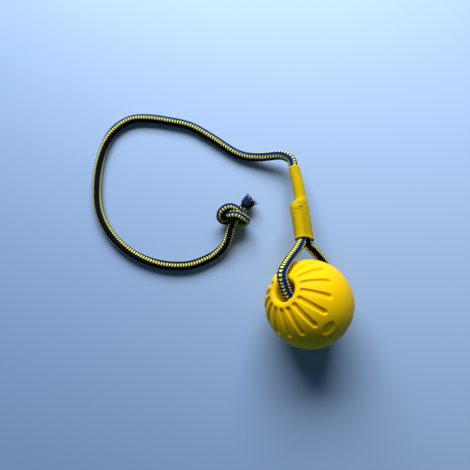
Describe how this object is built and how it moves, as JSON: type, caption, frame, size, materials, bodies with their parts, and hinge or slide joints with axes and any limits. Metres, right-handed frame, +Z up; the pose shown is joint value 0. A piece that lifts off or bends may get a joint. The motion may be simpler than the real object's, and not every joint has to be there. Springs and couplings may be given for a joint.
{
  "type": "dog play ball",
  "caption": "Grooved foam fetch ball threaded on a bound loop of rope, with a free rope lead that ends in a stopper knot and a frayed tail",
  "frame": {"origin": "on the table, below the middle of the ball, the loop and the sleeve as they lie", "axes": "+Z up from the table, +Y from the ball towards the sleeve's upper mouth, +X to the right seen from above"},
  "size_m": [0.2205, 0.2079, 0.07],
  "materials": {
    "ball_foam": "bright yellow closed-cell foam, matt with a faint sheen",
    "rope": "knitted cover in navy, blue and yellow stripes",
    "sleeve_film": "yellow shrunk film, satin",
    "thread": "plain undyed thread",
    "rope_core": "dark loose fibres"
  },
  "bodies": {
    "rope": {"rope_loop": "rope", "binding_sleeve": "sleeve_film", "seizing_thread": "thread", "rope_lead": "rope", "rope_knot": "rope", "rope_tail": "rope", "rope_core": "rope_core"},
    "ball": {"ball": "ball_foam"}
  },
  "joints": [
    {"name": "ball_spin", "type": "hinge", "parent": "rope", "child": "ball", "pos_m": [0, -0.04235, 0.035], "axis": [-0.6677, 0.2834, 0.6884], "continuous": true}
  ]
}
